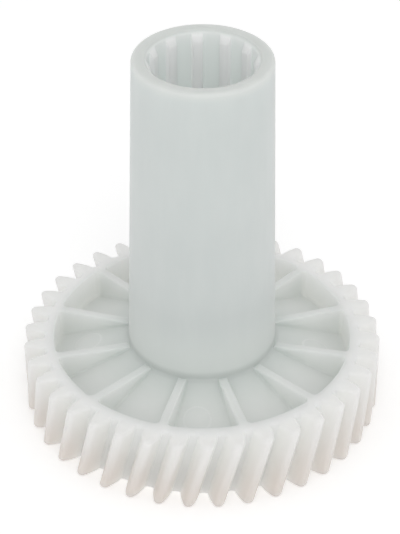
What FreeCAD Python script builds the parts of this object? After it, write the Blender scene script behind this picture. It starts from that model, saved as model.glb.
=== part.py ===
import FreeCAD, Part
import math
import os

# Helical gear with a tall splined drive sleeve, moulded in one shot of natural acetal.
# The moulding is divided at its natural boundaries into named solids that meet face to
# face: the toothed rim, the conical web, its stiffening ribs, the bearing hub, the tapered
# sleeve, the floor of the splined socket and the spline ridges.
#
# Frame: millimetres, +Z up along the gear axis, origin on the axis at the underside.

# ---- gear teeth ----
TOOTH_COUNT = 38
NORMAL_MODULE = 2.0
HELIX_DEG = 14.45              # right-hand helix
NORMAL_PRESSURE_DEG = 20.0
DEDENDUM_FACTOR = 1.35         # deeper than standard, with a full root radius
TIP_ROUND = 0.62               # depth of the rounded tooth crest
FACE_WIDTH = 17.6
TOOTH_PHASE_DEG = 0.41         # direction of the first tooth at the underside

# ---- rim and web ----
RIM_INNER_R = 34.27
HUB_R = 17.0
WEB_TOP_AT_HUB = 16.8
WEB_TOP_AT_RIM = 10.3
WEB_THICKNESS = 2.8            # measured along the axis

# ---- stiffening ribs ----
RIB_COUNT = 12
RIB_PHASE_DEG = 15.5
RIB_TOP_WIDTH = 2.0
RIB_FOOT_WIDTH = 2.4
RIB_TOP_AT_HUB = 17.1

# ---- ejector pads, the pin witness marks on the upper side of the web ----
PAD_COUNT = 4
PAD_R = 3.0
PAD_CENTRE_R = 26.6
PAD_PHASE_DEG = -2.2           # the first pad, a little off the X axis
PAD_PROUD = 0.15

# ---- sleeve ----
SLEEVE_TOP = 90.0
SLEEVE_TOP_R = 15.2
SLEEVE_EDGE_ROUND = 0.45
BEARING_BORE_R = 13.0
BEARING_CHAMFER = 0.8
RELIEF_TOP_R = 12.7            # drafted hollow above the bearing bore
FLOOR_UNDERSIDE = 52.0
FLOOR_TOP = 56.0

# ---- splined socket ----
SPLINE_COUNT = 12
SPLINE_PHASE_DEG = 5.7
SPLINE_WIDTH = 2.2
RIDGE_R = 10.93
GROOVE_R = 11.96
MOUTH_R = 12.37
MOUTH_CONE_DEG = 30.0          # half angle of the lead-in cone

# ---- worked out from the above ----
AXIS = FreeCAD.Vector(0, 0, 1)
ORIGIN = FreeCAD.Vector(0, 0, 0)
HELIX = math.radians(HELIX_DEG)
TRANSVERSE_MODULE = NORMAL_MODULE / math.cos(HELIX)
PITCH_R = TRANSVERSE_MODULE * TOOTH_COUNT / 2
TIP_R = PITCH_R + NORMAL_MODULE
ROOT_R = PITCH_R - DEDENDUM_FACTOR * NORMAL_MODULE
PRESSURE = math.atan(math.tan(math.radians(NORMAL_PRESSURE_DEG)) / math.cos(HELIX))
BASE_R = PITCH_R * math.cos(PRESSURE)
TOOTH_PITCH_DEG = 360.0 / TOOTH_COUNT
TWIST_DEG = math.degrees(FACE_WIDTH * math.tan(HELIX) / PITCH_R)
MOUTH_SLOPE = 1 / math.tan(math.radians(MOUTH_CONE_DEG))


def ring(outline):
    """Solid of revolution about the gear axis of a closed (radius, height) outline."""
    points = [FreeCAD.Vector(r, 0, z) for r, z in outline]
    face = Part.Face(Part.makePolygon(points + points[:1]))
    return face.revolve(ORIGIN, AXIS, 360)


def turned(shape, degrees):
    """A copy of the shape turned about the gear axis."""
    copy = shape.copy()
    copy.rotate(ORIGIN, AXIS, degrees)
    return copy


def web_top(radius):
    """Height of the web's upper cone at a radius."""
    slope = (WEB_TOP_AT_RIM - WEB_TOP_AT_HUB) / (RIM_INNER_R - HUB_R)
    return WEB_TOP_AT_HUB + slope * (radius - HUB_R)


def mouth_height(radius):
    """Height of the lead-in cone at a radius."""
    return SLEEVE_TOP - (MOUTH_R - radius) * MOUTH_SLOPE


# ---- toothed rim ----
def half_tooth_angle(radius):
    """Half of the angle that a tooth takes up at a radius, on involute flanks."""
    def involute(angle):
        return math.tan(angle) - angle
    at_radius = math.acos(min(1.0, BASE_R / radius))
    return math.pi / (2 * TOOTH_COUNT) + involute(PRESSURE) - involute(at_radius)


def polar(radius, angle):
    return FreeCAD.Vector(radius * math.cos(angle), radius * math.sin(angle), 0)


def tooth_edges(centre):
    """One tooth and the root gap after it, as flank, crest, flank and root curves."""
    crest_foot_r = TIP_R - TIP_ROUND
    radii = [BASE_R + (crest_foot_r - BASE_R) * step / 3 for step in range(4)]
    rising = [polar(r, centre - half_tooth_angle(r)) for r in radii]
    falling = [polar(r, centre + half_tooth_angle(r)) for r in reversed(radii)]
    next_centre = centre + math.radians(TOOTH_PITCH_DEG)
    next_foot = polar(BASE_R, next_centre - half_tooth_angle(BASE_R))
    root = polar(ROOT_R, (centre + next_centre) / 2)
    flank_up = Part.BSplineCurve()
    flank_up.interpolate(rising)
    flank_down = Part.BSplineCurve()
    flank_down.interpolate(falling)
    crest = Part.Arc(rising[-1], polar(TIP_R, centre), falling[0])
    gap = Part.Arc(falling[-1], root, next_foot)
    return [curve.toShape() for curve in (flank_up, crest, flank_down, gap)]


def toothed_rim():
    """The rim band with its 38 helical teeth."""
    edges = []
    for tooth in range(TOOTH_COUNT):
        edges += tooth_edges(math.radians(TOOTH_PHASE_DEG + tooth * TOOTH_PITCH_DEG))
    section = Part.Wire(edges)
    levels = 4
    sections = []
    for level in range(levels + 1):
        share = level / levels
        wire = turned(section, TWIST_DEG * share)
        wire.translate(AXIS * FACE_WIDTH * share)
        sections.append(wire)
    toothed = Part.makeLoft(sections, True, False)
    return toothed.cut(Part.makeCylinder(RIM_INNER_R, FACE_WIDTH))


# ---- web and ribs ----
def web_band(above, below):
    """The part of the web between two depths, measured from its upper cone."""
    return ring([
        (HUB_R, WEB_TOP_AT_HUB + above),
        (RIM_INNER_R, WEB_TOP_AT_RIM + above),
        (RIM_INNER_R, WEB_TOP_AT_RIM - below),
        (HUB_R, WEB_TOP_AT_HUB - below),
    ])


def conical_web():
    """The coned disc that joins the hub to the rim, with the ejector pads on top."""
    web = web_band(0, WEB_THICKNESS)
    skin = web_band(PAD_PROUD, WEB_THICKNESS / 2)
    pin = Part.makeCylinder(PAD_R, FACE_WIDTH, FreeCAD.Vector(PAD_CENTRE_R, 0, 0))
    pad = skin.common(pin)
    for number in range(PAD_COUNT):
        web = web.fuse(turned(pad, PAD_PHASE_DEG + number * 360.0 / PAD_COUNT))
    return web.removeSplitter()


def stiffening_rib():
    """One radial rib: a drafted plate that fills the space between web, hub and rim."""
    pocket = ring([
        (HUB_R, WEB_TOP_AT_HUB),
        (RIM_INNER_R, WEB_TOP_AT_RIM),
        (RIM_INNER_R, FACE_WIDTH),
        (sleeve_radius(RIB_TOP_AT_HUB), RIB_TOP_AT_HUB),
    ])
    corners = [
        (-RIB_FOOT_WIDTH / 2, WEB_TOP_AT_RIM),
        (RIB_FOOT_WIDTH / 2, WEB_TOP_AT_RIM),
        (RIB_TOP_WIDTH / 2, FACE_WIDTH),
        (-RIB_TOP_WIDTH / 2, FACE_WIDTH),
    ]
    start = HUB_R / 2
    points = [FreeCAD.Vector(start, y, z) for y, z in corners]
    plate = Part.Face(Part.makePolygon(points + points[:1]))
    plate = plate.extrude(FreeCAD.Vector(RIM_INNER_R, 0, 0))
    return plate.common(pocket)


# ---- hub and sleeve ----
def sleeve_radius(height):
    """Outside radius of the drafted sleeve at a height."""
    share = (height - WEB_TOP_AT_HUB) / (SLEEVE_TOP - WEB_TOP_AT_HUB)
    return HUB_R + (SLEEVE_TOP_R - HUB_R) * share


def bearing_hub():
    """The short cylinder under the sleeve, with the plain bearing bore."""
    return ring([
        (BEARING_BORE_R + BEARING_CHAMFER, 0),
        (HUB_R, 0),
        (HUB_R, WEB_TOP_AT_HUB),
        (BEARING_BORE_R, WEB_TOP_AT_HUB),
        (BEARING_BORE_R, BEARING_CHAMFER),
    ])


def drive_sleeve():
    """The tall drafted tube, with the lead-in cone of the socket at its mouth."""
    tube = ring([
        (BEARING_BORE_R, WEB_TOP_AT_HUB),
        (HUB_R, WEB_TOP_AT_HUB),
        (SLEEVE_TOP_R, SLEEVE_TOP),
        (MOUTH_R, SLEEVE_TOP),
        (GROOVE_R, mouth_height(GROOVE_R)),
        (GROOVE_R, FLOOR_UNDERSIDE),
        (RELIEF_TOP_R, FLOOR_UNDERSIDE),
    ])
    outer_edge = []
    for edge in tube.Edges:
        at_top = edge.BoundBox.ZMin > SLEEVE_TOP - 0.01
        is_outer = edge.BoundBox.XMax > SLEEVE_TOP_R - 0.01
        if at_top and is_outer:
            outer_edge.append(edge)
    return tube.makeFillet(SLEEVE_EDGE_ROUND, outer_edge)


def socket_floor():
    """The partition between the splined socket and the bearing hollow."""
    return ring([
        (0, FLOOR_UNDERSIDE),
        (GROOVE_R, FLOOR_UNDERSIDE),
        (GROOVE_R, FLOOR_TOP),
        (0, FLOOR_TOP),
    ])


def spline_ridge():
    """One straight-sided ridge of the socket, cut off at the top by the lead-in cone."""
    lining = ring([
        (RIDGE_R, FLOOR_TOP),
        (GROOVE_R, FLOOR_TOP),
        (GROOVE_R, mouth_height(GROOVE_R)),
        (RIDGE_R, mouth_height(RIDGE_R)),
    ])
    corner = FreeCAD.Vector(0, -SPLINE_WIDTH / 2, FLOOR_TOP)
    block = Part.makeBox(MOUTH_R, SPLINE_WIDTH, SLEEVE_TOP - FLOOR_TOP, corner)
    return lining.common(block)


def save(name, shape):
    """Write one named solid."""
    if shape.ShapeType != "Solid":
        shape = shape.Solids[0]
    shape.exportStep(os.path.join("parts", name + ".step"))
    print(name, "valid" if shape.isValid() else "NOT VALID", round(shape.Volume, 1))


os.makedirs("parts", exist_ok=True)

save("toothed_rim", toothed_rim())
save("conical_web", conical_web())
save("bearing_hub", bearing_hub())
save("drive_sleeve", drive_sleeve())
save("socket_floor", socket_floor())

rib = stiffening_rib()
for number in range(RIB_COUNT):
    angle = RIB_PHASE_DEG + number * 360.0 / RIB_COUNT
    save(f"rib_{number + 1:02d}", turned(rib, angle))

ridge = spline_ridge()
for number in range(SPLINE_COUNT):
    angle = SPLINE_PHASE_DEG + number * 360.0 / SPLINE_COUNT
    save(f"spline_{number + 1:02d}", turned(ridge, angle))
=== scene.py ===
import math

import bmesh
import bpy
import numpy as np
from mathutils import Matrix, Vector


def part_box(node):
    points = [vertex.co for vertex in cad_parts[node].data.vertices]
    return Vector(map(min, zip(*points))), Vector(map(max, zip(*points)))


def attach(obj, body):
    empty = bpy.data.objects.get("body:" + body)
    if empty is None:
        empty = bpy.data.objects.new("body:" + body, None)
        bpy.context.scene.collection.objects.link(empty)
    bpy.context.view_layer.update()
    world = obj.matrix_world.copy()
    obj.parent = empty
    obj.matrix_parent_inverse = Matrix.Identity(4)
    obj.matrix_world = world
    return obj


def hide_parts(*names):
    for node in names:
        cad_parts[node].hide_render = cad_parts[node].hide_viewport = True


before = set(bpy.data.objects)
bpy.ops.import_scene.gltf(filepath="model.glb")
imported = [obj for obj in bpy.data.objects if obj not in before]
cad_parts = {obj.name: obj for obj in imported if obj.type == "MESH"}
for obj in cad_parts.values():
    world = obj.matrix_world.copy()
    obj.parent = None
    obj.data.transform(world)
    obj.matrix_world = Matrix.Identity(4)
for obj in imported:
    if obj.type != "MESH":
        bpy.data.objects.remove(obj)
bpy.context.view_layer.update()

# A helical gear with a tall splined drive sleeve, moulded in milky natural plastic. All packed
# nodes but the socket's floor are rebuilt here as one closed skin, with the rounded edges and
# root fillets of a moulding. One skin lets light scatter through the whole moulding, as it does
# through the real one. Lengths are in metres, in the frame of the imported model.

MM = 0.001
BODY = "root"


# ---------------------------------------------------------------- sizes from the frame

def node_size(node):
    """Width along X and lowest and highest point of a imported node."""
    low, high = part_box(node)
    return high[0] - low[0], low[2], high[2]


_, RIM_LOW, RIM_TOP = node_size("toothed_rim")
HUB_WIDTH, HUB_LOW, WEB_TOP_AT_HUB = node_size("bearing_hub")
_, _, SLEEVE_TOP = node_size("drive_sleeve")
GROOVE_WIDTH, FLOOR_LOW, FLOOR_TOP = node_size("socket_floor")
HUB_R = HUB_WIDTH / 2
GROOVE_R = GROOVE_WIDTH / 2

# ---------------------------------------------------------------- driving dimensions

TOOTH_COUNT = 38
NORMAL_MODULE = 2.0 * MM
HELIX = math.radians(14.45)
NORMAL_PRESSURE = math.radians(20)
DEDENDUM_FACTOR = 1.35
TIP_ROUND = 0.62 * MM
TOOTH_PHASE = math.radians(0.41)
TOOTH_END_ROUND = 0.9 * MM

RIM_INNER_R = 34.27 * MM
RIM_EDGE_ROUND = 0.4 * MM
COLLAR_R = 35.2 * MM             # between the rim's inner edge and the gaps of the teeth
WEB_TOP_AT_RIM = 10.3 * MM
WEB_THICKNESS = 2.8 * MM
WEB_ROOT = 0.6 * MM             # fillet round the floor of each pocket
WEB_UNDER_ROOT = 1.6 * MM        # fillets under the web, at the rim and at the hub

RIB_COUNT = 12
RIB_PHASE = math.radians(15.5)
RIB_HALF_WIDTH = 1.0 * MM
RIB_TOP_AT_HUB = 17.1 * MM
RIB_EDGE_ROUND = 0.35 * MM
RIB_DRAFT = math.tan(math.radians(1.5))
POCKET_CORNER = 1.05 * MM        # plan radius where a rib meets the rim
EDGE_SHARE = 0.35                # most of a shallow wall that its top edge's round takes
ROOT_SHARE = 0.55                # and most that the fillet at its foot takes

SLEEVE_TOP_R = 15.2 * MM
SLEEVE_EDGE_ROUND = 0.8 * MM
SLEEVE_LIP_ROUND = 0.25 * MM
SLEEVE_ROOT = 0.55 * MM          # fillet round the foot of the sleeve
HUB_EDGE_ROUND = 0.3 * MM
BEARING_BORE_R = 13.0 * MM
BEARING_CHAMFER = 0.8 * MM
RELIEF_TOP_R = 12.7 * MM

PAD_R = 3.0 * MM                 # marks that the ejector pins leave on the web
PAD_CENTRE_R = 26.6 * MM
PAD_PHASE = math.radians(-2.2)
PAD_HEIGHT = 0.15 * MM
PAD_RAMP = 0.45 * MM
PAD_COUNT = 4

SPLINE_COUNT = 12
SPLINE_PHASE = math.radians(5.7)
SPLINE_HALF_WIDTH = 1.1 * MM
SPLINE_FLANK = 0.3 * MM          # how far round each rounded flank of a spline reaches
MOUTH_BLEND = 0.08 * MM          # rounding where the splines run out into the lead-in cone
BLEND_REACH = 0.5 * MM           # how far below the cone that rounding begins
FLOOR_LAP = 0.2 * MM             # how far the grooves run down past the top of the floor
RIDGE_R = 10.93 * MM
MOUTH_R = 12.37 * MM
MOUTH_SLOPE = 1 / math.tan(math.radians(30))

TRANSVERSE_MODULE = NORMAL_MODULE / math.cos(HELIX)
PITCH_R = TRANSVERSE_MODULE * TOOTH_COUNT / 2
TIP_R = PITCH_R + NORMAL_MODULE
ROOT_R = PITCH_R - DEDENDUM_FACTOR * NORMAL_MODULE
PRESSURE = math.atan(math.tan(NORMAL_PRESSURE) / math.cos(HELIX))
BASE_R = PITCH_R * math.cos(PRESSURE)
TWIST_PER_METRE = math.tan(HELIX) / PITCH_R
SECTOR = 2 * math.pi / RIB_COUNT


# ---------------------------------------------------------------- mesh helpers

SHARP_ANGLE = math.radians(40)
WELD_DISTANCE = 0.001 * MM


def make_piece(name, points, faces, *nodes):
    """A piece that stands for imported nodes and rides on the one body."""
    mesh = bpy.data.meshes.new(name)
    mesh.from_pydata([tuple(p) for p in points], [], faces)
    mesh.validate()
    piece = bpy.data.objects.new(name, mesh)
    bpy.context.scene.collection.objects.link(piece)
    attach(piece, BODY)
    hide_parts(*nodes)
    return piece


def turn(points, angle):
    """Points turned about the gear axis."""
    c, s = math.cos(angle), math.sin(angle)
    points = np.asarray(points)
    x, y = points[..., 0], points[..., 1]
    return np.stack([c * x - s * y, s * x + c * y, points[..., 2]], axis=-1)


def arc(centre, radius, start, end, steps):
    """(radius, height) points on an arc, with its angles in degrees."""
    angles = np.radians(np.linspace(start, end, steps + 1))
    return [(centre[0] + radius * math.cos(a), centre[1] + radius * math.sin(a)) for a in angles]


# ---------------------------------------------------------------- teeth

def half_tooth_angle(radius):
    """Half of the angle that a tooth takes up at a radius, on involute flanks."""
    def involute(angle):
        return math.tan(angle) - angle
    at_radius = math.acos(min(1.0, BASE_R / radius))
    return math.pi / (2 * TOOTH_COUNT) + involute(PRESSURE) - involute(at_radius)


def polar(radius, angle):
    return radius * math.cos(angle), radius * math.sin(angle)


def three_point_arc(first, middle, last, steps):
    """Points on the arc through three plane points, without the last."""
    (ax, ay), (bx, by), (cx, cy) = first, middle, last
    d = 2 * (ax * (by - cy) + bx * (cy - ay) + cx * (ay - by))
    aa, bb, cc = ax * ax + ay * ay, bx * bx + by * by, cx * cx + cy * cy
    ux = (aa * (by - cy) + bb * (cy - ay) + cc * (ay - by)) / d
    uy = (aa * (cx - bx) + bb * (ax - cx) + cc * (bx - ax)) / d
    start = math.atan2(ay - uy, ax - ux)
    half_turn = (math.atan2(by - uy, bx - ux) - start + math.pi) % (2 * math.pi) - math.pi
    radius = math.hypot(ax - ux, ay - uy)
    angles = [start + 2 * half_turn * i / steps for i in range(steps)]
    return [(ux + radius * math.cos(a), uy + radius * math.sin(a)) for a in angles]


def tooth_outline():
    """The transverse outline of the whole gear at the underside, and its outward normals."""
    crest_foot_r = TIP_R - TIP_ROUND
    crest_half = half_tooth_angle(crest_foot_r)
    base_half = half_tooth_angle(BASE_R)
    flank = np.linspace(BASE_R, crest_foot_r, 9)
    points = []
    for tooth in range(TOOTH_COUNT):
        centre = TOOTH_PHASE + 2 * math.pi * tooth / TOOTH_COUNT
        after = centre + 2 * math.pi / TOOTH_COUNT
        points += [polar(r, centre - half_tooth_angle(r)) for r in flank[:-1]]
        points += three_point_arc(
            polar(crest_foot_r, centre - crest_half), polar(TIP_R, centre),
            polar(crest_foot_r, centre + crest_half), 10,
        )
        points += [polar(r, centre + half_tooth_angle(r)) for r in flank[:0:-1]]
        points += three_point_arc(
            polar(BASE_R, centre + base_half), polar(ROOT_R, (centre + after) / 2),
            polar(BASE_R, after - base_half), 8,
        )
    points = np.array(points)
    along = np.roll(points, -1, axis=0) - np.roll(points, 1, axis=0)
    along /= np.linalg.norm(along, axis=1)[:, None]
    return points, np.stack([along[:, 1], -along[:, 0]], axis=-1)


def tooth_rows():
    """Closed loops up the toothed side of the rim, rounded over at both ends of the teeth."""
    outline, outward = tooth_outline()

    def row(inset, z):
        flat = outline - outward * inset
        flat = np.concatenate([flat, np.full((len(flat), 1), z)], axis=1)
        return turn(flat, TWIST_PER_METRE * z)

    round_over = [
        (TOOTH_END_ROUND * (1 - math.sin(a)), TOOTH_END_ROUND * (1 - math.cos(a)))
        for a in np.radians(np.linspace(0, 90, 8))
    ]
    rows = [row(inset, RIM_LOW + drop) for inset, drop in round_over]
    straight = np.linspace(RIM_LOW + TOOTH_END_ROUND, RIM_TOP - TOOTH_END_ROUND, 10)
    rows += [row(0, z) for z in straight[1:-1]]
    rows += [row(inset, RIM_TOP - drop) for inset, drop in reversed(round_over)]
    return np.array([collar(rows[0])] + rows + [collar(rows[-1])])


def collar(loop):
    """A plain ring inside the end of the teeth, with a point for each point of their outline."""
    angles = np.maximum.accumulate(np.unwrap(np.arctan2(loop[:, 1], loop[:, 0])))
    return np.stack([COLLAR_R * np.cos(angles), COLLAR_R * np.sin(angles), loop[:, 2]], axis=-1)


# ---------------------------------------------------------------- pockets between the ribs
# A pocket is the hollow over the web between two ribs. Its edge runs out along one rib, round
# a corner, along the rim, round the other corner and back along the next rib. The half of it
# beside one rib is worked out in that rib's own frame: x along the rib and y across it.

LEG_STEPS = 36
CORNER_STEPS = 8
ARC_STEPS = 18
ACROSS_STEPS = 6
INNER_R = HUB_R + 0.6 * MM       # where the web meets the fillet at the foot of the sleeve


def web_height(radius):
    """Height of the web's upper cone, which stays level inside the hub."""
    slope = (WEB_TOP_AT_RIM - WEB_TOP_AT_HUB) / (RIM_INNER_R - HUB_R)
    return WEB_TOP_AT_HUB + slope * (np.maximum(radius, HUB_R) - HUB_R)


def rib_height(radius):
    """Height of the top of a rib, flush with the rim at its outer end."""
    slope = (RIM_TOP - RIB_TOP_AT_HUB) / (RIM_INNER_R - HUB_R)
    return np.minimum(RIM_TOP, RIB_TOP_AT_HUB + slope * (radius - HUB_R))


def half_edge():
    """Plan points of half a pocket's edge, and the directions into the pocket."""
    corner_y = RIB_HALF_WIDTH + POCKET_CORNER
    corner_x = math.sqrt((RIM_INNER_R - POCKET_CORNER) ** 2 - corner_y ** 2)
    start_x = math.sqrt(INNER_R ** 2 - RIB_HALF_WIDTH ** 2)
    points = [(x, RIB_HALF_WIDTH) for x in np.linspace(start_x, corner_x, LEG_STEPS + 1)[:-1]]
    inward = [(0.0, 1.0)] * LEG_STEPS
    rim_angle = math.atan2(corner_y, corner_x)
    for a in np.linspace(-math.pi / 2, rim_angle, CORNER_STEPS + 1)[:-1]:
        c, s = math.cos(a), math.sin(a)
        points.append((corner_x + POCKET_CORNER * c, corner_y + POCKET_CORNER * s))
        inward.append((-c, -s))
    for a in np.linspace(rim_angle, SECTOR / 2, ARC_STEPS + 1):
        points.append(polar(RIM_INNER_R, a))
        inward.append(polar(-1, a))
    return np.array(points), np.array(inward)


EDGE, INWARD = half_edge()
TOP_Z = rib_height(np.hypot(EDGE[:, 0], EDGE[:, 1]))
DEPTH = TOP_Z - web_height(np.hypot(EDGE[:, 0], EDGE[:, 1]))
EDGE_ROUND = np.minimum(RIB_EDGE_ROUND, EDGE_SHARE * DEPTH)
ROOT_ROUND = np.minimum(WEB_ROOT, ROOT_SHARE * DEPTH)
FLOOR_EDGE = EDGE + INWARD * (ROOT_ROUND + RIB_DRAFT * DEPTH)[:, None]
FLOOR_Z = web_height(np.hypot(FLOOR_EDGE[:, 0], FLOOR_EDGE[:, 1]))
FOOT_Z = FLOOR_Z + ROOT_ROUND                 # where the wall ends and its root fillet begins
RIB_ROWS = LEG_STEPS + CORNER_STEPS + 1       # points of the half edge that belong to the rib


def inset_edge(shift, z):
    """The half edge moved into the pocket, at given heights, with the wall's draft."""
    moved = EDGE + INWARD * (shift + RIB_DRAFT * (TOP_Z - z))[:, None]
    return np.concatenate([moved, z[:, None]], axis=1)


def mirrored(points):
    """The same points on the other side of a rib."""
    return points * np.array([1, -1, 1])


def whole_edge(half):
    """A pocket's whole edge from the half beside its first rib."""
    other = turn(mirrored(half), SECTOR)
    return np.concatenate([half, other[::-1][1:]])


def pocket_rows():
    """A pocket's edge at every level: rounded top edge, drafted wall and root fillet."""
    quarter = np.radians(np.linspace(0, 90, 7))
    rows = []
    for a in quarter[::-1]:
        shift = -EDGE_ROUND * (1 - math.cos(a))
        rows.append(inset_edge(shift, TOP_Z - EDGE_ROUND * (1 - math.sin(a))))
    for share in np.linspace(0, 1, 5)[1:-1]:
        z = TOP_Z - EDGE_ROUND + (FOOT_Z - TOP_Z + EDGE_ROUND) * share
        rows.append(inset_edge(0 * z, z))
    for a in quarter:
        shift = ROOT_ROUND * (1 - math.cos(a))
        rows.append(inset_edge(shift, FOOT_Z - ROOT_ROUND * math.sin(a)))
    rows[-1][:, 2] = web_height(np.hypot(rows[-1][:, 0], rows[-1][:, 1]))
    return np.array([whole_edge(row) for row in rows])


def rib_top(edge_row):
    """A grid over the top of a rib, from its right side to its left."""
    left = edge_row[:RIB_ROWS]
    right = mirrored(left)
    angle_l, angle_r = np.arctan2(left[:, 1], left[:, 0]), np.arctan2(right[:, 1], right[:, 0])
    radius = np.hypot(left[:, 0], left[:, 1])
    grid = []
    for share in np.linspace(0, 1, ACROSS_STEPS + 1):
        angle = angle_r + (angle_l - angle_r) * share
        grid.append(np.stack([radius * np.cos(angle), radius * np.sin(angle), left[:, 2]], -1))
    return np.array(grid)


def pocket_floor(edge):
    """A grid over a pocket's floor, inside the lowest row of its edge."""
    split = LEG_STEPS + CORNER_STEPS // 2
    last = len(edge) - 1
    left, right = edge[:split + 1, :2], edge[last - split:, :2][::-1]
    far = edge[split:last - split + 1, :2]

    def shares(run):
        steps = np.concatenate([[0], np.cumsum(np.linalg.norm(np.diff(run, axis=0), axis=1))])
        return steps / steps[-1]
    u, v = shares(far), shares(left)
    near_angles = [math.atan2(left[0, 1], left[0, 0]), math.atan2(right[0, 1], right[0, 0])]
    angles = near_angles[0] + (near_angles[1] - near_angles[0]) * u
    near = np.hypot(*left[0]) * np.stack([np.cos(angles), np.sin(angles)], axis=-1)
    u, v = u[None, :, None], v[:, None, None]
    grid = (1 - v) * near[None] + v * far[None] + (1 - u) * left[:, None] + u * right[:, None]
    grid -= (1 - v) * ((1 - u) * near[0] + u * near[-1])
    grid -= v * ((1 - u) * far[0] + u * far[-1])
    z = web_height(np.linalg.norm(grid, axis=-1))
    return np.concatenate([grid, z[..., None]], axis=-1)


def with_pads(points):
    """The same points, raised where an ejector pin has left its round pad."""
    raised = np.array(points)
    for number in range(PAD_COUNT):
        x, y = polar(PAD_CENTRE_R, PAD_PHASE + number * 2 * math.pi / PAD_COUNT)
        off = np.hypot(raised[..., 0] - x, raised[..., 1] - y) - PAD_R
        share = np.clip(0.5 - off / PAD_RAMP, 0, 1)
        raised[..., 2] += PAD_HEIGHT * share * share * (3 - 2 * share)
    return raised


# ---------------------------------------------------------------- the skin of the moulding

def underside_outline():
    """(radius, height) points from the rim's lower edge, under the web, to inside the hub."""
    slope = math.atan2(WEB_TOP_AT_HUB - WEB_TOP_AT_RIM, RIM_INNER_R - HUB_R)
    tilt = 90 - math.degrees(slope)
    root, edge = WEB_UNDER_ROOT, RIM_EDGE_ROUND

    def root_centre(radius):
        return radius, web_height(radius) - WEB_THICKNESS - root / math.cos(slope)
    rim_root, hub_root = root_centre(RIM_INNER_R - root), root_centre(HUB_R + root)
    points = arc((RIM_INNER_R + edge, RIM_LOW + edge), edge, 270, 180, 5)
    points += [(RIM_INNER_R, z) for z in np.linspace(RIM_LOW + edge, rim_root[1], 5)[1:-1]]
    points += arc(rim_root, root, 0, tilt, 6)
    start, end = arc(rim_root, root, tilt, tilt, 1)[0], arc(hub_root, root, tilt, tilt, 1)[0]
    points += [tuple(p) for p in np.linspace(start, end, 14)[1:-1]]
    return points + arc(hub_root, root, tilt, 180, 8)


class Surface:
    """Points and faces gathered patch by patch."""

    def __init__(self):
        self.points, self.faces = [], []

    def add(self, grid, closed=False):
        """Adds a grid of points with its quads, and returns the points' numbers."""
        grid = np.asarray(grid)
        numbers = len(self.points) + np.arange(grid.shape[0] * grid.shape[1])
        numbers = numbers.reshape(grid.shape[:2])
        self.points.extend(grid.reshape(-1, 3))
        wide = np.concatenate([numbers, numbers[:, :1]], axis=1) if closed else numbers
        for this, after in zip(wide[:-1], wide[1:]):
            for j in range(len(this) - 1):
                self.faces.append((this[j], this[j + 1], after[j + 1], after[j]))
        return numbers

    def zip(self, loop, other):
        """Joins a new closed loop to one that is there, with triangles matched by angle."""
        here, there = self.add(loop[None])[0], other

        def unrolled(numbers):
            flat = np.array([self.points[n] for n in numbers])
            angles = np.arctan2(flat[:, 1], flat[:, 0]) % (2 * math.pi)
            first = int(np.argmin(angles))
            angles = np.roll(angles, -first)
            ring = np.roll(numbers, -first)
            return np.append(ring, ring[0]), np.append(angles, angles[0] + 2 * math.pi)
        here, a = unrolled(here)
        there, b = unrolled(there)
        i = j = 0
        while i < len(here) - 1 or j < len(there) - 1:
            if j == len(there) - 1 or (i < len(here) - 1 and a[i + 1] <= b[j + 1]):
                self.faces.append((here[i], there[j], here[i + 1]))
                i += 1
            else:
                self.faces.append((here[i], there[j], there[j + 1]))
                j += 1


def moulded_gear():
    """Rim, ribs, web, hub and splined sleeve, as the one continuous skin of the moulding."""
    skin = Surface()
    teeth = tooth_rows()
    side = skin.add(teeth, closed=True)
    rows = pocket_rows()
    floor = pocket_floor(rows[-1])
    top = rib_top(rows[0])
    rim_run = np.concatenate([top[:-1, -1], rows[0][RIB_ROWS - 1:len(rows[0]) - RIB_ROWS]])
    hub_run = np.concatenate([top[:, 0], rows[1:, 0], floor[0, 1:-1], rows[:0:-1, -1]])
    angles = np.arctan2(rim_run[:, 1], rim_run[:, 0])
    circle = np.stack([np.cos(angles), np.sin(angles), 0 * angles], axis=-1)
    underside = np.array([circle * r + [0, 0, z] for r, z in underside_outline()])
    starts = [RIB_PHASE + sector * SECTOR for sector in range(RIB_COUNT)]
    for start in starts:
        skin.add(turn(rows, start))
        skin.add(turn(top, start))
        skin.add(with_pads(turn(floor, start)))

    def around(run):
        """The same run of points for every sector, one after the other."""
        return np.concatenate([turn(run, start) for start in starts], axis=-2)
    skin.add(around(underside), closed=True)
    skin.zip(around(rim_run), side[-1])
    skin.zip(around(underside[0]), side[0])
    tube = skin.add(sleeve_rows(), closed=True)
    skin.zip(around(hub_run), tube[-1])
    skin.zip(around(underside[-1]), tube[0])
    nodes = ["toothed_rim", "conical_web", "drive_sleeve", "bearing_hub"]
    nodes += [f"rib_{number + 1:02d}" for number in range(RIB_COUNT)]
    nodes += [f"spline_{number + 1:02d}" for number in range(SPLINE_COUNT)]
    piece = make_piece("moulded_gear", skin.points, skin.faces, *nodes)
    weld(piece)
    return piece


def weld(piece):
    """Joins points that lie on each other, turns all faces outwards and shades them smooth."""
    work = bmesh.new()
    work.from_mesh(piece.data)
    bmesh.ops.remove_doubles(work, verts=work.verts, dist=WELD_DISTANCE)
    bmesh.ops.dissolve_degenerate(work, edges=work.edges, dist=WELD_DISTANCE / 2)
    bmesh.ops.recalc_face_normals(work, faces=work.faces)
    work.to_mesh(piece.data)
    work.free()
    piece.data.shade_smooth()
    piece.data.set_sharp_from_angle(angle=SHARP_ANGLE)


# ---------------------------------------------------------------- hub, sleeve and socket

def sleeve_radius(height):
    """Outside radius of the drafted sleeve."""
    share = (height - WEB_TOP_AT_HUB) / (SLEEVE_TOP - WEB_TOP_AT_HUB)
    return HUB_R + (SLEEVE_TOP_R - HUB_R) * share


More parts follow.
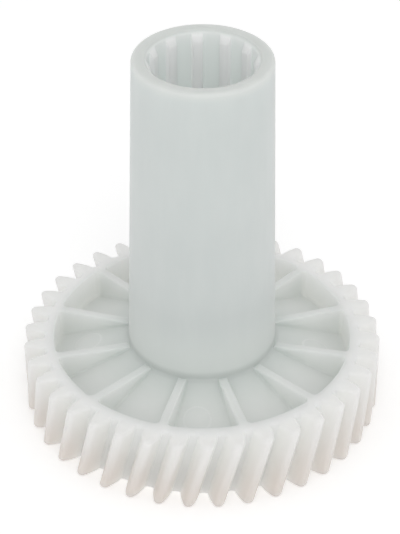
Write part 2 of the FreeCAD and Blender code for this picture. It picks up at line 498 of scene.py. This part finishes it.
def relief_radius(height):
    """Radius of the drafted hollow between the bearing bore and the socket's floor."""
    share = (height - WEB_TOP_AT_HUB) / (FLOOR_LOW - WEB_TOP_AT_HUB)
    return BEARING_BORE_R + (RELIEF_TOP_R - BEARING_BORE_R) * share


def spline_section():
    """Angles and radii round the inside of the socket, ridge after ridge."""
    inner = (SPLINE_HALF_WIDTH - SPLINE_FLANK / 2) / RIDGE_R
    outer = (SPLINE_HALF_WIDTH + SPLINE_FLANK / 2) / RIDGE_R
    half_pitch = math.pi / SPLINE_COUNT
    flank = np.linspace(0, 1, 11)
    angles = np.concatenate([
        np.linspace(0, inner, 4)[:-1], inner + (outer - inner) * flank,
        np.linspace(outer, half_pitch, 7)[1:],
    ])
    rise = np.interp(angles, inner + (outer - inner) * flank, flank)
    radii = RIDGE_R + (GROOVE_R - RIDGE_R) * rise ** 2 * (3 - 2 * rise)
    angles = np.concatenate([angles[:-1], 2 * half_pitch - angles[:0:-1]])
    radii = np.concatenate([radii[:-1], radii[:0:-1]])
    starts = SPLINE_PHASE + 2 * half_pitch * np.arange(SPLINE_COUNT)
    return (starts[:, None] + angles[None]).ravel(), np.tile(radii, SPLINE_COUNT)


def mouth_radius(height):
    """Radius of the socket's lead-in cone at a height."""
    return MOUTH_R - (SLEEVE_TOP - height) / MOUTH_SLOPE


def mouth_height(radius):
    """Height of the socket's lead-in cone at a radius."""
    return SLEEVE_TOP - (MOUTH_R - radius) * MOUTH_SLOPE


def sleeve_rows():
    """Closed loops from the hub's foot on the web, through the bore and socket, over the mouth
    and down the outside of the sleeve to its foot on the web."""
    angles, radius = spline_section()
    direction = np.stack([np.cos(angles), np.sin(angles)], axis=-1)
    edge, lip, root = SLEEVE_EDGE_ROUND, SLEEVE_LIP_ROUND, SLEEVE_ROOT

    def ring(radii, z):
        flat = direction * np.broadcast_to(radii, len(angles))[:, None]
        return np.concatenate([flat, np.full((len(angles), 1), z)], axis=1)

    foot = HUB_LOW + HUB_EDGE_ROUND
    lower = [(HUB_R, z) for z in np.linspace(underside_outline()[-1][1], foot, 8)[1:-1]]
    lower += arc((HUB_R - HUB_EDGE_ROUND, foot), HUB_EDGE_ROUND, 0, -90, 5)
    lower += [(BEARING_BORE_R + BEARING_CHAMFER, HUB_LOW)]
    bore = np.linspace(HUB_LOW + BEARING_CHAMFER, WEB_TOP_AT_HUB, 8)
    lower += [(BEARING_BORE_R, z) for z in bore]
    lower += [(relief_radius(z), z) for z in np.linspace(WEB_TOP_AT_HUB, FLOOR_LOW, 16)[1:]]
    lower += [(GROOVE_R, FLOOR_LOW), (GROOVE_R, FLOOR_TOP - FLOOR_LAP)]
    rows = [ring(r, z) for r, z in lower]

    cone_end = mouth_height(RIDGE_R) - BLEND_REACH
    cone_start = SLEEVE_TOP - lip * 1.5
    rows += [ring(radius, z) for z in np.linspace(FLOOR_TOP - FLOOR_LAP, cone_end, 14)[:-1]]
    for z in np.linspace(cone_end, cone_start, 26)[:-1]:
        gap = radius - mouth_radius(z)
        rows.append(ring(radius + (np.hypot(gap, MOUTH_BLEND) - gap) / 2, z))

    upper = arc((MOUTH_R + lip, SLEEVE_TOP - lip), lip, 150, 90, 5)
    upper += arc((SLEEVE_TOP_R - edge, SLEEVE_TOP - edge), edge, 90, 0, 6)[:-1]
    flare_top = WEB_TOP_AT_HUB + root
    upper += [(sleeve_radius(z), z) for z in np.linspace(SLEEVE_TOP - edge, flare_top, 40)]
    upper += arc((HUB_R + root, flare_top), root, 180, 240, 4)[1:]
    rows += [ring(r, z) for r, z in upper]
    return np.array(rows)


# ---------------------------------------------------------------- material

# Painted shade: the web is painted darker than the rim, and darkest beside the sleeve, which
# shades it.
WEB_SHADE_NEAR_SLEEVE = (0.66, 0.695, 0.675, 1)   # the web beside the sleeve
WEB_SHADE_NEAR_RIM = (0.775, 0.805, 0.775, 1)  # the web beside the rim
# Painted light and shade on the sleeve: its wall is painted darker than the rim, its foot
# lighter to offset the shade of the web and ribs, and its top end a little lighter.
SLEEVE_FOOT_PAINTED_LIGHT = (0.76, 0.795, 0.775, 1)  # the foot of the sleeve
SLEEVE_PAINTED_SHADE = (0.615, 0.65, 0.64, 1)
SLEEVE_END_PAINTED_SHADE = (0.64, 0.665, 0.645, 1)
PAD_PALE = (0.90, 0.92, 0.90, 1)
# Painted light: the inside of the socket is painted paler to offset the shade in the hole.
SOCKET_PAINTED_LIGHT = (0.96, 1.0, 0.98, 1)
# The rim's own white, which also paints light into the gaps between the teeth to offset their
# shade; the crests are painted darker as painted shade.
RIM_WHITE_AND_ROOT_LIGHT = (0.965, 0.97, 0.93, 1)
CREST_PAINTED_SHADE = (0.70, 0.69, 0.67, 1)
# Painted shade: the teeth are painted warmer and darker towards their lower ends, most at the
# tips.
TOOTH_LOW_SHADE = (0.955, 0.925, 0.92, 1)
TIP_LOW_SHADE = (0.86, 0.80, 0.755, 1)
CLOUD_TINT = (0.76, 0.78, 0.76, 1)
FLOW_TINT = (0.92, 0.92, 0.90, 1)
SOCKET_DEPTH = 6.5 * MM              # how far light scatters in the socket, sleeve and rim
THIN_DEPTH = 5.0 * MM
THICK_DEPTH = 13.0 * MM
CLOUD_SCALE = 55.0                   # noise patches per metre: blotches about 18 mm across
FLOW_SCALE = 260.0                   # streaks along the axis, about 4 mm across
FLOW_STRETCH = 0.18
SATIN_SCALE = 120.0                  # patches that differ in gloss
GRAIN_SCALE = 2600.0                 # the mould's fine grain
GRAIN_DEPTH = 0.03 * MM
SINK_SCALE = 160.0                   # slight unevenness from cooling
SINK_DEPTH = 0.12 * MM
CLOUD_SHARE = 0.10
FLOW_SHARE = 0.05
PAD_RING_SHARE = 0.3


class Nodes:
    """Small helper that adds shader nodes and joins them up."""

    def __init__(self, material):
        material.use_nodes = True
        self.tree = material.node_tree
        self.shader = self.tree.nodes["Principled BSDF"]

    def add(self, kind, inputs=None, **settings):
        """A new node with its settings, and values or links for its inputs."""
        node = self.tree.nodes.new(kind)
        for name, value in settings.items():
            setattr(node, name, value)
        for name, value in (inputs or {}).items():
            self.feed(node.inputs[name], value)
        return node

    def feed(self, socket, value):
        """Sets a socket to a value, or links it to another socket."""
        if isinstance(value, bpy.types.NodeSocket):
            self.tree.links.new(value, socket)
        else:
            socket.default_value = value

    def math(self, operation, first, second):
        return self.add("ShaderNodeMath", {0: first, 1: second}, operation=operation).outputs[0]

    def ramp(self, value, low, high, to_low=0.0, to_high=1.0):
        """A smooth step of a value from one range to another."""
        inputs = {"Value": value, "From Min": low, "From Max": high,
                  "To Min": to_low, "To Max": to_high}
        node = self.add("ShaderNodeMapRange", inputs, interpolation_type="SMOOTHSTEP")
        return node.outputs["Result"]

    def noise(self, place, scale, detail=3.0, roughness=0.5):
        inputs = {"Vector": place, "Scale": scale, "Detail": detail, "Roughness": roughness}
        return self.add("ShaderNodeTexNoise", inputs).outputs["Fac"]

    def mix(self, share, first, second, blend="MIX"):
        node = self.add("ShaderNodeMix", data_type="RGBA", blend_type=blend)
        for name, value in (("Factor", share), ("A", first), ("B", second)):
            sockets = [s for s in node.inputs if s.name == name and s.enabled]
            self.feed(sockets[0], value)
        return [s for s in node.outputs if s.enabled][0]


def pad_ring(nodes, x, y, height):
    """1 on the thin pale ring round each ejector pad, on the upper side of the web."""
    c, s = math.cos(PAD_PHASE), math.sin(PAD_PHASE)

    def weighted(first, second):
        return nodes.math("ABSOLUTE", nodes.math("ADD", nodes.math("MULTIPLY", x, first),
                                                 nodes.math("MULTIPLY", y, second)), 0.0)
    x, y = weighted(c, s), weighted(-s, c)
    along = nodes.math("SUBTRACT", nodes.math("MAXIMUM", x, y), PAD_CENTRE_R)
    across = nodes.math("MINIMUM", x, y)
    square = nodes.math("ADD", nodes.math("MULTIPLY", along, along),
                        nodes.math("MULTIPLY", across, across))
    from_rim = nodes.math("SUBTRACT", nodes.math("SQRT", square, 0.0), PAD_R)
    off = nodes.math("ABSOLUTE", from_rim, 0.0)
    on_top = nodes.ramp(height, 11.8 * MM, 12.1 * MM)
    return nodes.math("MULTIPLY", nodes.ramp(off, 0.40 * MM, 0.05 * MM), on_top)


def milky_plastic(name):
    """Natural acetal: milky and translucent. Its colour carries painted light and shade: darker
    and cooler on the web and sleeve, paler in the socket and between the teeth, darker at the
    crests, and warmer and darker at the teeth's lower ends.
    """
    material = bpy.data.materials.new(name)
    nodes = Nodes(material)
    place = nodes.add("ShaderNodeTexCoord").outputs["Object"]
    split = nodes.add("ShaderNodeSeparateXYZ", {"Vector": place})
    x, y, height = split.outputs["X"], split.outputs["Y"], split.outputs["Z"]
    radius = nodes.math("SQRT", nodes.math("ADD", nodes.math("MULTIPLY", x, x),
                                           nodes.math("MULTIPLY", y, y)), 0.0)

    in_teeth = nodes.ramp(radius, RIM_INNER_R - 1.5 * MM, RIM_INNER_R + 1.5 * MM)
    low_down = nodes.ramp(height, RIM_TOP - 1 * MM, RIM_LOW)
    outward = nodes.ramp(radius, ROOT_R - 0.5 * MM, TIP_R)
    at_tips = nodes.math("MULTIPLY", outward, low_down)
    in_socket = nodes.math("MULTIPLY", nodes.ramp(radius, MOUTH_R, MOUTH_R - 0.7 * MM),
                           nodes.ramp(height, FLOOR_LOW - 2 * MM, FLOOR_TOP))
    # Painted shade on the web, darkest beside the sleeve and lighter towards the rim.
    web = nodes.mix(nodes.ramp(radius, HUB_R, HUB_R + 11 * MM), WEB_SHADE_NEAR_SLEEVE, WEB_SHADE_NEAR_RIM)
    pads = nodes.math("MULTIPLY", pad_ring(nodes, x, y, height), PAD_RING_SHARE)
    web = nodes.mix(pads, web, PAD_PALE)
    # Painted shade on the sleeve, with painted light at its foot and a lighter top end.
    sleeve = nodes.mix(nodes.ramp(height, RIM_TOP, RIM_TOP + 16 * MM), SLEEVE_FOOT_PAINTED_LIGHT, SLEEVE_PAINTED_SHADE)
    sleeve = nodes.mix(nodes.ramp(height, SLEEVE_TOP - 2.5 * MM, SLEEVE_TOP), sleeve, SLEEVE_END_PAINTED_SHADE)
    inner = nodes.mix(nodes.ramp(height, RIM_TOP, RIM_TOP + 1.5 * MM), web, sleeve)
    # Painted light inside the socket.
    inner = nodes.mix(in_socket, inner, SOCKET_PAINTED_LIGHT)
    # Teeth painted paler at their roots and darker at their crests, as painted light and shade.
    shade = nodes.mix(in_teeth, inner, nodes.mix(outward, RIM_WHITE_AND_ROOT_LIGHT, CREST_PAINTED_SHADE))
    # Painted shade, warmer and darker down the teeth and most at their tips.
    teeth_low_shade = nodes.math("MULTIPLY", in_teeth, low_down)
    shade = nodes.mix(teeth_low_shade, shade, TOOTH_LOW_SHADE, "MULTIPLY")
    shade = nodes.mix(at_tips, shade, TIP_LOW_SHADE, "MULTIPLY")

    cloud = nodes.ramp(nodes.noise(place, CLOUD_SCALE, 4.0), 0.3, 0.7)
    shade = nodes.mix(nodes.math("MULTIPLY", cloud, CLOUD_SHARE), shade, CLOUD_TINT)
    stretch = {"Vector": place, "Scale": (1.0, 1.0, FLOW_STRETCH)}
    flow_place = nodes.add("ShaderNodeMapping", stretch).outputs["Vector"]
    flow = nodes.noise(flow_place, FLOW_SCALE, 5.0, 0.6)
    shade = nodes.mix(nodes.ramp(flow, 0.35, 0.75, 0.0, FLOW_SHARE), shade, FLOW_TINT)
    nodes.feed(nodes.shader.inputs["Base Color"], shade)

    satin = nodes.ramp(nodes.noise(place, SATIN_SCALE, 4.0), 0.3, 0.7, 0.40, 0.52)
    nodes.feed(nodes.shader.inputs["Roughness"], satin)
    grain = {"Height": nodes.noise(place, GRAIN_SCALE, 3.0, 0.6), "Strength": 0.25,
             "Distance": GRAIN_DEPTH}
    grain = nodes.add("ShaderNodeBump", grain).outputs["Normal"]
    sink = {"Height": nodes.noise(place, SINK_SCALE, 3.0), "Strength": 0.4,
            "Distance": SINK_DEPTH, "Normal": grain}
    relief = nodes.add("ShaderNodeBump", sink).outputs["Normal"]
    nodes.feed(nodes.shader.inputs["Normal"], relief)

    nodes.shader.inputs["IOR"].default_value = 1.48
    nodes.shader.inputs["Specular IOR Level"].default_value = 0.35
    nodes.shader.inputs["Subsurface Weight"].default_value = 1.0
    depth = nodes.ramp(radius, HUB_R + 1.0 * MM, RIM_INNER_R - 2.0 * MM, THIN_DEPTH, THICK_DEPTH)
    deeper = nodes.math("MULTIPLY", in_socket, SOCKET_DEPTH - THIN_DEPTH)
    depth = nodes.math("ADD", depth, deeper)
    nodes.feed(nodes.shader.inputs["Subsurface Scale"], depth)
    nodes.shader.inputs["Subsurface Radius"].default_value = (1.0, 1.0, 1.0)
    return material


# ---------------------------------------------------------------- stage

FLOOR_HALF_SIZE = 3.0
FLOOR_GAP = 0.02 * MM                # keeps the floor off the faces that stand on it
FLOOR_COLOUR = (0.95, 0.95, 0.95, 1)
FLOOR_GLOW = 0.25                    # keeps the floor near white, like the photo's background
STUDIO_LIGHT = 0.70                  # from all sides
SOFTBOX_SIZE = 0.5
SOFTBOX_POWER = 2.0
SOFTBOX_PLACE = (0.05, -0.62, 0.85)
SOFTBOX_TARGET = (0, 0, 0.03)

CAMERA_PLACE = (-0.00068, -0.34, 0.2831)
CAMERA_TURN = (math.radians(53.97), -0.0023, 0.0011)
CAMERA_LENS = 125.1                  # mm, on a 36 mm sensor


def make_stage():
    """A plain pale floor and soft studio light."""
    mesh = bpy.data.meshes.new("floor")
    h = FLOOR_HALF_SIZE
    mesh.from_pydata([(-h, -h, 0), (h, -h, 0), (h, h, 0), (-h, h, 0)], [], [(0, 1, 2, 3)])
    floor = bpy.data.objects.new("floor", mesh)
    floor.location.z = -FLOOR_GAP
    bpy.context.scene.collection.objects.link(floor)
    pale = bpy.data.materials.new("floor_pale")
    pale.use_nodes = True
    finish = {"Base Color": FLOOR_COLOUR, "Roughness": 0.9, "Specular IOR Level": 0.0,
              "Emission Color": (1, 1, 1, 1), "Emission Strength": FLOOR_GLOW}
    for name, value in finish.items():
        pale.node_tree.nodes["Principled BSDF"].inputs[name].default_value = value
    mesh.materials.append(pale)

    world = bpy.data.worlds.new("studio")
    bpy.context.scene.world = world
    world.use_nodes = True
    background = world.node_tree.nodes["Background"]
    background.inputs["Color"].default_value = (1.0, 1.0, 1.0, 1)
    background.inputs["Strength"].default_value = STUDIO_LIGHT

    lamp = bpy.data.lights.new("softbox", "AREA")
    lamp.shape = "DISK"
    lamp.size = SOFTBOX_SIZE
    lamp.energy = SOFTBOX_POWER
    softbox = bpy.data.objects.new("softbox", lamp)
    softbox.location = SOFTBOX_PLACE
    aim_at(softbox, SOFTBOX_TARGET)
    bpy.context.scene.collection.objects.link(softbox)


def aim_at(thing, target):
    """Turns a lamp so that its -Z axis points at a place."""
    direction = Vector(target) - thing.location
    thing.rotation_euler = direction.to_track_quat("-Z", "Y").to_euler()


def make_camera():
    """The viewing angle: in front of the gear, about 36 degrees above it."""
    data = bpy.data.cameras.new("camera")
    data.lens = CAMERA_LENS
    data.sensor_width = 36
    data.clip_start = 0.01
    camera = bpy.data.objects.new("camera", data)
    camera.location = CAMERA_PLACE
    camera.rotation_euler = CAMERA_TURN
    bpy.context.scene.collection.objects.link(camera)
    bpy.context.scene.camera = camera


# ---------------------------------------------------------------- build

def build():
    """Makes every piece, the material and the stage."""
    gear = moulded_gear()
    plastic = milky_plastic("natural_acetal_skin")
    gear.data.materials.append(plastic)
    floor_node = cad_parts["socket_floor"]
    for slot in floor_node.material_slots:
        slot.material = plastic
    make_camera()
    make_stage()
    bpy.context.scene.view_settings.view_transform = "Standard"


build()
